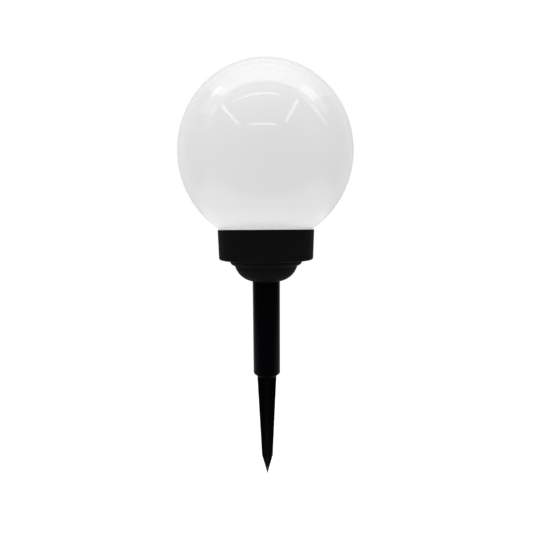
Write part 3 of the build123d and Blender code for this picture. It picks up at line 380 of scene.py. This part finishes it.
def chip_black():
    """Moulded chip with bright legs at its top."""
    finish = Finish("chip_black", Specular_IOR_Level=0.3)
    leg_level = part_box("controller_chip")[1].z - CHIP_LEGS
    legs = finish.maths("GREATER_THAN", finish.along("Z", finish.place), leg_level)
    speckle = finish.noise(3000, rough=0.7)
    body = finish.mixed(speckle, colour(0.008, 0.008, 0.008), colour(0.02, 0.02, 0.021))
    base = finish.mixed(legs, body, colour(0.66, 0.65, 0.62))
    gloss = finish.spread(legs, 0.6, 0.25)
    grain = finish.dent(speckle, depth=0.01 * MM)
    return finish.use(Base_Color=base, Metallic=legs, Roughness=gloss, Normal=grain)


def inductor_green():
    """Dipped green barrel with brown rings, and bright leads beyond its ends."""
    finish = Finish("inductor_green", Coat_Weight=0.5, Coat_Roughness=0.08)
    across = finish.maths("ABSOLUTE", finish.along("X", finish.place))
    leads = finish.maths("GREATER_THAN", across, BARREL_END)
    rings = finish.lines(across, RING_PITCH, RING_WIDTH)
    dip = finish.mixed(finish.noise(300), colour(0.03, 0.16, 0.08), colour(0.05, 0.22, 0.11))
    body = finish.mixed(rings, dip, colour(0.07, 0.025, 0.012))
    base = finish.mixed(leads, body, colour(0.7, 0.69, 0.66))
    gloss = finish.spread(finish.noise(250, detail=2.0), 0.2, 0.34)
    return finish.use(Base_Color=base, Metallic=leads, Roughness=gloss)


def sleeve_green():
    """Shrunk green sleeve with a plain white end and a thin line beside it."""
    finish = Finish("sleeve_green", Coat_Weight=0.3, Coat_Roughness=0.1)
    low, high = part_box("battery_sleeve")
    share = finish.spread(finish.along("X", finish.place), 0.0, 1.0, start=low.x, end=high.x)
    end = finish.maths("GREATER_THAN", share, SLEEVE_WHITE)
    line = finish.maths("COMPARE", share, SLEEVE_LINE, SLEEVE_LINE_REACH)
    film = finish.mixed(finish.noise(260), colour(0.02, 0.17, 0.055), colour(0.035, 0.23, 0.08))
    base = finish.mixed(finish.maths("MAXIMUM", end, line), film, colour(0.72, 0.73, 0.7))
    creases = finish.noise(700, rough=0.6, place=finish.stretched((0.15, 1, 1)))
    gloss = finish.spread(creases, 0.22, 0.36)
    return finish.use(Base_Color=base, Roughness=gloss, Normal=finish.dent(creases, depth=0.02 * MM))


def phosphor_yellow():
    """Yellow phosphor gel in a lamp's cup."""
    finish = Finish("phosphor_yellow", Subsurface_Weight=0.3, Subsurface_Scale=0.5 * MM)
    grains = finish.noise(9000, rough=0.7)
    base = finish.mixed(grains, colour(0.72, 0.55, 0.05), colour(0.85, 0.7, 0.14))
    return finish.use(Base_Color=base, Roughness=finish.spread(grains, 0.3, 0.5))


def floor_white():
    """Matt white that glows a little, with a soft edge that only gloss shows."""
    finish = Finish("floor_white", Roughness=1.0, Specular_IOR_Level=0.0, Emission_Color=colour(1, 1, 1))
    depth = finish.along("Y", finish.place)
    inwards = finish.eased(depth, 0.0, 1.0, start=FLOOR_FRONT, end=FLOOR_FRONT + FLOOR_FADE[0])
    side = FLOOR_SIZE[0] / 2
    across = finish.maths("ABSOLUTE", finish.along("X", finish.place))
    central = finish.eased(across, 1.0, FLOOR_SIDE, start=side - FLOOR_FADE[1], end=side)
    glossy = finish.add("ShaderNodeLightPath").outputs["Is Glossy Ray"]
    bright = finish.spread(glossy, 1.0, finish.maths("MULTIPLY", inwards, central))
    shade = finish.spread(bright, FLOOR_SHADE, FLOOR_WHITE)
    lift = finish.maths("MULTIPLY", finish.looked_at(), FLOOR_LIFT)
    glow = finish.maths("MULTIPLY", finish.maths("ADD", lift, FLOOR_GLOW), bright)
    return finish.use(Base_Color=shade, Emission_Strength=glow)


FINISHES = {
    "globe_opal": opal_plastic(),
    "base_black": moulded(
        "satin_black", dark=(0.0046, 0.0046, 0.0048), light=(0.006, 0.006, 0.0062),
        gloss=(0.55, 0.65), grain=2600, depth=0.008 * MM, Specular_IOR_Level=0.015,
    ),
    "deck_black": moulded(
        "deck_black", dark=(0.007, 0.007, 0.0075), light=(0.012, 0.012, 0.0125),
        gloss=(0.45, 0.58), grain=1900, depth=0.02 * MM, Specular_IOR_Level=0.3,
    ),
    "stem_black": stem_black(),
    "spike_black": spike_black(),
    "gasket_rubber": moulded(
        "gasket_rubber", dark=(0.012, 0.012, 0.012), light=(0.024, 0.024, 0.023),
        gloss=(0.6, 0.75), grain=900, depth=0.03 * MM, Specular_IOR_Level=0.3, Sheen_Weight=0.2,
    ),
    "screw_steel": plated(
        "zinc", dull=(0.5, 0.52, 0.54), bright=(0.66, 0.66, 0.62),
        gloss=(0.22, 0.38), brush=(1, 1, 0.1),
    ),
    "board_green": board_green(),
    "cell_blue": cell_blue(),
    "resin_clear": clear(
        "cast_resin", clean=(0.985, 0.99, 0.995), tinted=(0.95, 0.97, 0.985),
        gloss=(0.02, 0.05), depth=0.012 * MM,
    ),
    "lamp_clear": clear(
        "lens_resin", clean=(0.99, 0.99, 0.98), tinted=(0.965, 0.965, 0.94),
        gloss=(0.01, 0.03), depth=0.004 * MM,
    ),
    "tinned_lead": plated(
        "tin", dull=(0.6, 0.6, 0.58), bright=(0.76, 0.75, 0.72),
        gloss=(0.18, 0.32), brush=(1, 1, 0.2),
    ),
    "chip_black": chip_black(),
    "inductor_green": inductor_green(),
    "switch_steel": plated(
        "nickel_case", dull=(0.56, 0.55, 0.52), bright=(0.7, 0.69, 0.66),
        gloss=(0.24, 0.4), brush=(1, 0.1, 1),
    ),
    "knob_black": moulded(
        "knob_black", dark=(0.008, 0.008, 0.008), light=(0.014, 0.014, 0.014),
        gloss=(0.38, 0.5), grain=2800, depth=0.01 * MM, Specular_IOR_Level=0.35,
    ),
    "holder_black": moulded(
        "holder_black", dark=(0.008, 0.008, 0.008), light=(0.015, 0.015, 0.015),
        gloss=(0.4, 0.55), grain=1800, depth=0.02 * MM, Specular_IOR_Level=0.35,
    ),
    "cell_steel": plated(
        "nickel_can", dull=(0.58, 0.57, 0.54), bright=(0.73, 0.72, 0.69),
        gloss=(0.16, 0.3), brush=(0.1, 1, 1),
    ),
    "sleeve_green": sleeve_green(),
    "contact_nickel": plated(
        "nickel", dull=(0.6, 0.59, 0.55), bright=(0.76, 0.74, 0.7),
        gloss=(0.14, 0.28), brush=(1, 0.2, 1),
    ),
    "wire_red": moulded(
        "wire_red", dark=(0.32, 0.008, 0.006), light=(0.42, 0.014, 0.01),
        gloss=(0.28, 0.4), grain=900, depth=0.01 * MM,
    ),
    "wire_black": moulded(
        "wire_black", dark=(0.008, 0.008, 0.008), light=(0.014, 0.014, 0.014),
        gloss=(0.28, 0.4), grain=900, depth=0.01 * MM,
    ),
}
for subpart in frame["record"]["subparts"]:
    for slot in frame["nodes"][subpart["node"]].material_slots:
        slot.material = FINISHES[subpart["material_slot"]]


def mesh_object(name, shape, finish):
    """A new mesh in the scene, from a finished shape."""
    mesh = bpy.data.meshes.new(name)
    shape.to_mesh(mesh)
    shape.free()
    mesh.materials.append(finish)
    thing = bpy.data.objects.new(name, mesh)
    scene.collection.objects.link(thing)
    return thing


def piece(name, shape, finish):
    """A new piece on the head of the light."""
    thing = mesh_object(name, shape, finish)
    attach(thing, "head")


def add_bar(shape, centre, size, turn=0.0):
    """A bar with bevelled edges, turned about Z."""
    place = Matrix.Translation(centre) @ Matrix.Rotation(turn, 4, "Z") @ Matrix.Diagonal((*size, 1.0))
    corners = bmesh.ops.create_cube(shape, size=1.0, matrix=place)["verts"]
    edges = list({edge for corner in corners for edge in corner.link_edges})
    bmesh.ops.bevel(
        shape, geom=edges, offset=BEVEL_SHARE * min(size), segments=BEVEL_STEPS, affect="EDGES", profile=0.5
    )


def add_turned(shape, centre, outline):
    """A turned form from an outline of radii and heights over a centre."""
    points = [shape.verts.new(centre + Vector((radius, 0, height))) for radius, height in outline]
    edges = [shape.edges.new(pair) for pair in zip(points, points[1:])]
    bmesh.ops.spin(
        shape, geom=points + edges, cent=centre, axis=(0, 0, 1), angle=math.tau, steps=TURN_STEPS,
        use_merge=True,
    )
    bmesh.ops.remove_doubles(shape, verts=shape.verts, dist=WELD)
    bmesh.ops.recalc_face_normals(shape, faces=shape.faces)


def add_wire(shape, points, radius):
    """A thin round wire through some points."""
    for start, end in zip(points, points[1:]):
        run = end - start
        place = Matrix.Translation((start + end) / 2) @ run.to_track_quat("Z", "Y").to_matrix().to_4x4()
        bmesh.ops.create_cone(
            shape, cap_ends=True, segments=WIRE_SIDES, radius1=radius, radius2=radius, depth=run.length,
            matrix=place,
        )


def cell_ribbons():
    """Tinned ribbons along the solar cells, joined at alternate ends."""
    low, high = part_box("solar_cells")
    cell_width = (high.x - low.x - (CELL_COUNT - 1) * CELL_GAP) / CELL_COUNT
    level = high.z + RIBBON_THICKNESS / 2
    length = high.y - low.y - RIBBON_INSET
    middles = [low.x + cell_width / 2 + i * (cell_width + CELL_GAP) for i in range(CELL_COUNT)]
    shape = bmesh.new()
    for x in middles:
        add_bar(shape, Vector((x, 0, level)), (RIBBON_WIDTH, length, RIBBON_THICKNESS))
    for i, (x, next_x) in enumerate(zip(middles, middles[1:])):
        end = high.y if i % 2 == 0 else low.y
        y = end - math.copysign(RIBBON_INSET, end)
        reach = next_x - x + RIBBON_WIDTH
        link = Vector(((x + next_x) / 2, y, level + RIBBON_THICKNESS))
        add_bar(shape, link, (reach, RIBBON_WIDTH, RIBBON_THICKNESS))
    piece("cell_ribbons", shape, FINISHES["tinned_lead"])


def lamp_insides():
    """Cup, posts, bond wire and phosphor gel inside each lamp."""
    low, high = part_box("leds")
    circle = high.x - LAMP_FLANGE
    cup_outline = [
        (0, 0), (CUP_FOOT, 0), (CUP_RADIUS, CUP_DEPTH), (CUP_MOUTH, CUP_DEPTH), (CUP_WELL, CUP_FLOOR),
        (0, CUP_FLOOR),
    ]
    dome = [(CUP_MOUTH * math.cos(angle), GEL_LEVEL + GEL_RISE * math.sin(angle)) for angle in GEL_ANGLES]
    gel_outline = [(0, GEL_LEVEL), *dome, (0, GEL_LEVEL + GEL_RISE)]
    metal = bmesh.new()
    gel = bmesh.new()
    for i in range(LAMP_COUNT):
        turn = math.tau * i / LAMP_COUNT
        foot = Matrix.Rotation(turn, 3, "Z") @ Vector((circle, 0, low.z))
        aside = Matrix.Rotation(turn, 3, "Z") @ Vector((0, 1, 0))
        anvil = foot - aside * ANVIL_OFFSET
        post = foot + aside * POST_OFFSET
        cup = foot + Vector((0, 0, ANVIL_SIZE.z - CUP_DEPTH / 2))
        add_bar(metal, anvil + Vector((0, 0, ANVIL_SIZE.z / 2)), ANVIL_SIZE, turn)
        add_bar(metal, post + Vector((0, 0, POST_SIZE.z / 2)), POST_SIZE, turn)
        add_turned(metal, cup, cup_outline)
        wire_start = post + Vector((0, 0, POST_SIZE.z))
        wire_end = cup + Vector((0, 0, CUP_DEPTH))
        wire_top = (wire_start + wire_end) / 2 + Vector((0, 0, BOND_RISE))
        add_wire(metal, [wire_start, wire_top, wire_end], BOND_WIRE)
        add_turned(gel, cup, gel_outline)
    piece("lamp_frames", metal, FINISHES["tinned_lead"])
    piece("lamp_phosphor", gel, phosphor_yellow())


def switch_marks():
    """Raised marks for on and off on the deck, beside the switch."""
    low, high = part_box("switch_knob")
    x = (low.x + high.x) / 2 + MARK_OFFSET
    middle = (low.y + high.y) / 2 + SWITCH_TRAVEL / 2
    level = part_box("deck")[1].z
    shape = bmesh.new()
    on = Vector((x, middle + MARK_SPREAD, level + MARK_HEIGHT / 2))
    add_bar(shape, on, (MARK_SIZE, MARK_LINE, MARK_HEIGHT))
    outer = MARK_SIZE / 2
    inner = outer - MARK_LINE
    ring = [(outer, 0), (outer, MARK_HEIGHT), (inner, MARK_HEIGHT), (inner, 0), (outer, 0)]
    off = Vector((x, middle - MARK_SPREAD, level))
    add_turned(shape, off, ring)
    piece("switch_marks", shape, FINISHES["deck_black"])


def studio_world():
    """White for camera and glass, soft light on everything, and a room that shows dark in front in gloss."""
    world = bpy.data.worlds.new("studio")
    world.use_nodes = True
    scene.world = world
    nodes = Nodes(world.node_tree)
    direction = nodes.add("ShaderNodeTexCoord").outputs["Generated"]
    slope = nodes.add("ShaderNodeVectorMath", operation="DOT_PRODUCT")
    nodes.feed(slope.inputs[0], direction)
    nodes.feed(slope.inputs[1], AMBIENT_SLOPE)
    ambient = nodes.maths("ADD", slope.outputs["Value"], AMBIENT_LEVEL)
    tilt = nodes.maths("MULTIPLY", nodes.along("X", direction), BACK_SLOPE)
    pale = nodes.maths("ADD", tilt, BACK_LEVEL)
    room = nodes.eased(nodes.along("Y", direction), ROOM_LEVEL, pale, *ROOM_EDGE)
    path = nodes.add("ShaderNodeLightPath").outputs
    white = nodes.maths("MAXIMUM", path["Is Camera Ray"], path["Is Transmission Ray"])
    seen = nodes.maths("MAXIMUM", white, room)
    level = nodes.add("ShaderNodeMix", {"Factor": nodes.looked_at()}, data_type="FLOAT")
    nodes.feed(level.inputs[2], ambient)
    nodes.feed(level.inputs[3], seen)
    background = world.node_tree.nodes["Background"]
    background.inputs["Color"].default_value = colour(1, 1, 1)
    nodes.feed(background.inputs["Strength"], level.outputs[0])


def studio_floor():
    """A white floor, lit from below."""
    shape = bmesh.new()
    place = Matrix.Translation((0, FLOOR_FRONT + FLOOR_SIZE[1] / 2, 0)) @ Matrix.Diagonal((*FLOOR_SIZE, 1, 1))
    bmesh.ops.create_grid(shape, x_segments=1, y_segments=1, size=0.5, matrix=place)
    floor = mesh_object("floor", shape, floor_white())
    floor.location.z = FLOOR_LEVEL


def area_light(name, centre, size, level, along, facing):
    """A rectangular light with its first side along a direction, as bright as a level."""
    back = -facing.normalized()
    side = (along - along.dot(back) * back).normalized()
    data = bpy.data.lights.new(name, "AREA")
    data.shape = "RECTANGLE"
    data.size, data.size_y = size
    data.energy = math.pi * size[0] * size[1] * level
    light = bpy.data.objects.new(name, data)
    light.location = centre
    light.rotation_mode = "QUATERNION"
    light.rotation_quaternion = Matrix((side, back.cross(side), back)).transposed().to_quaternion()
    light.visible_camera = False
    scene.collection.objects.link(light)


def studio_lights():
    """Wide panels overhead, lamps with halos beside them, and tubes and posts that show in the globe."""
    low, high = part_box("globe")
    middle = (low + high) / 2
    for name, (near, far, level) in PANELS.items():
        centre = Vector((PANEL_MIDDLE, (near + far) / 2, CEILING))
        area_light(name, centre, (PANEL_WIDTH, far - near), level, ALONG_X, DOWN)
    for name, (centre, size, level) in LAMPS.items():
        area_light(name, centre, size, level, ALONG_X, middle - centre)
    for name, (start, end, width, level) in TUBES.items():
        centre = (start + end) / 2
        area_light(name, centre, ((end - start).length, width), level, end - start, middle - centre)


def photo_camera():
    """The camera at the picture's angle, tipped down and slightly rolled."""
    data = bpy.data.cameras.new("camera")
    data.sensor_width = SENSOR_WIDTH
    data.lens = LENS
    camera = bpy.data.objects.new("camera", data)
    camera.location = (EYE_SIDE, -VIEW_DISTANCE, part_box("housing")[1].z)
    camera.rotation_mode = "ZYX"
    camera.rotation_euler = (math.radians(90 - PITCH), 0, math.radians(ROLL))
    scene.collection.objects.link(camera)
    scene.camera = camera


cell_ribbons()
lamp_insides()
switch_marks()
studio_world()
studio_floor()
studio_lights()
photo_camera()
